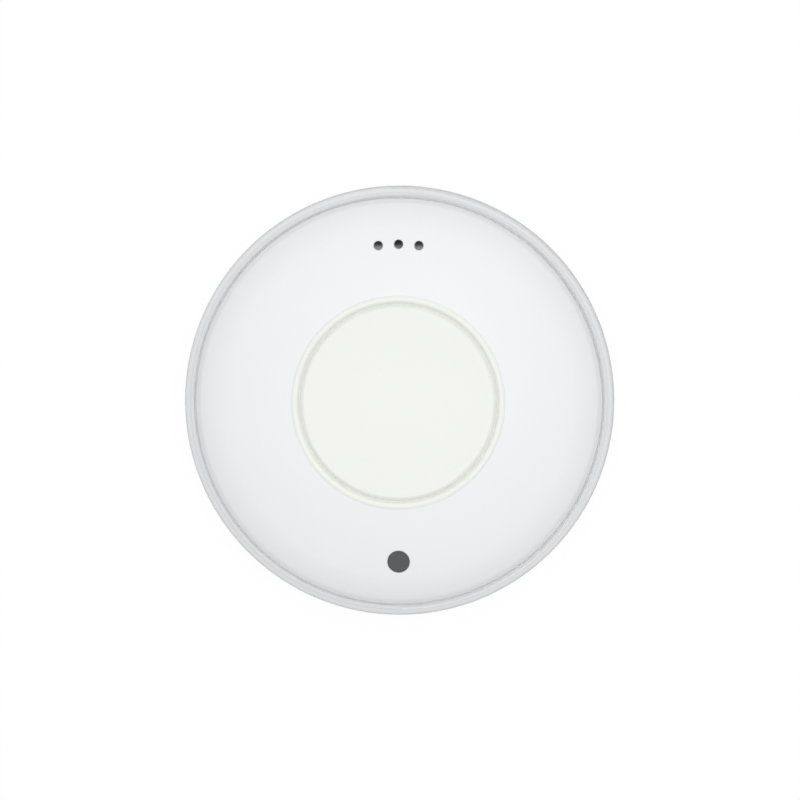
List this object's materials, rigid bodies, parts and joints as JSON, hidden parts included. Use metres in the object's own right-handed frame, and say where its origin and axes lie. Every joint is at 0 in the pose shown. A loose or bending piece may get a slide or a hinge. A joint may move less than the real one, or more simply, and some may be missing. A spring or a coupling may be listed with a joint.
{
  "type": "bluetooth beacon tag",
  "caption": "Round coin-cell radio beacon with a domed cover, central press button, vent holes, a light window and a twist-off battery cover.",
  "frame": {"origin": "centre of the flat back face", "axes": "+Z out of the front, through the button; +Y towards the vent holes"},
  "size_m": [0.033, 0.033, 0.0101],
  "materials": {
    "cover_white": "satin",
    "housing_white": "satin",
    "ivory_silicone": "matte",
    "smoked_window": "gloss",
    "seal_silicone": "matte",
    "o_ring_rubber": "matte",
    "membrane_sheet": "matte",
    "gasket_foam": "matte",
    "cell_steel": "satin",
    "cell_grommet": "matte",
    "cell_filling": "matte",
    "carrier_black": "satin",
    "contact_steel": "satin",
    "board_green": "gloss",
    "screw_steel": "polished",
    "switch_black": "matte",
    "switch_steel": "satin",
    "chip_black": "satin",
    "antenna_ceramic": "satin",
    "crystal_can": "satin",
    "led_resin": "gloss",
    "tantalum_yellow": "satin",
    "capacitor_tan": "satin",
    "resistor_black": "satin",
    "inductor_grey": "satin",
    "pad_gold": "satin"
  },
  "bodies": {
    "base": {"top_cover": "cover_white", "rear_housing": "housing_white", "button_web": "ivory_silicone", "button_bezel": "ivory_silicone", "status_window": "smoked_window", "housing_seal": "seal_silicone", "vent_membrane": "membrane_sheet", "sensor_gasket": "gasket_foam", "coin_cell_can": "cell_steel", "coin_cell_cap": "cell_steel", "coin_cell_gasket": "cell_grommet", "coin_cell_pellet": "cell_filling", "battery_carrier": "carrier_black", "positive_contact": "contact_steel", "negative_contact": "contact_steel", "main_board": "board_green", "board_screws": "screw_steel", "switch_base": "switch_black", "switch_frame": "switch_steel", "switch_snap_dome": "switch_steel", "switch_terminals": "switch_steel", "radio_chip": "chip_black", "motion_sensor": "chip_black", "humidity_sensor": "chip_black", "chip_antenna": "antenna_ceramic", "main_crystal": "crystal_can", "clock_crystal": "crystal_can", "status_led": "led_resin", "reserve_capacitor": "tantalum_yellow", "chip_capacitors": "capacitor_tan", "chip_resistors": "resistor_black", "chip_inductors": "inductor_grey", "test_pads": "pad_gold"},
    "button": {"button_cap": "ivory_silicone"},
    "plunger": {"switch_plunger": "switch_black"},
    "battery_door": {"battery_cover": "housing_white", "battery_cover_o_ring": "o_ring_rubber"}
  },
  "joints": [
    {"name": "button_press", "type": "slide", "parent": "base", "child": "button", "axis": [0, 0, -1], "range_m": [0, 0.0003], "stiffness_N_per_m": 5000, "deforming": ["button_web"]},
    {"name": "switch_press", "type": "slide", "parent": "base", "child": "plunger", "axis": [0, 0, -1], "range_m": [0, 0.0003], "deforming": ["switch_snap_dome"]},
    {"name": "battery_cover_twist", "type": "hinge", "parent": "base", "child": "battery_door", "pos_m": [0, 0, 0], "axis": [0, 0, -1], "range_deg": [0, 40]}
  ],
  "couplings": [
    {"joint": "switch_press", "follows": "button_press", "ratio": 1}
  ]
}
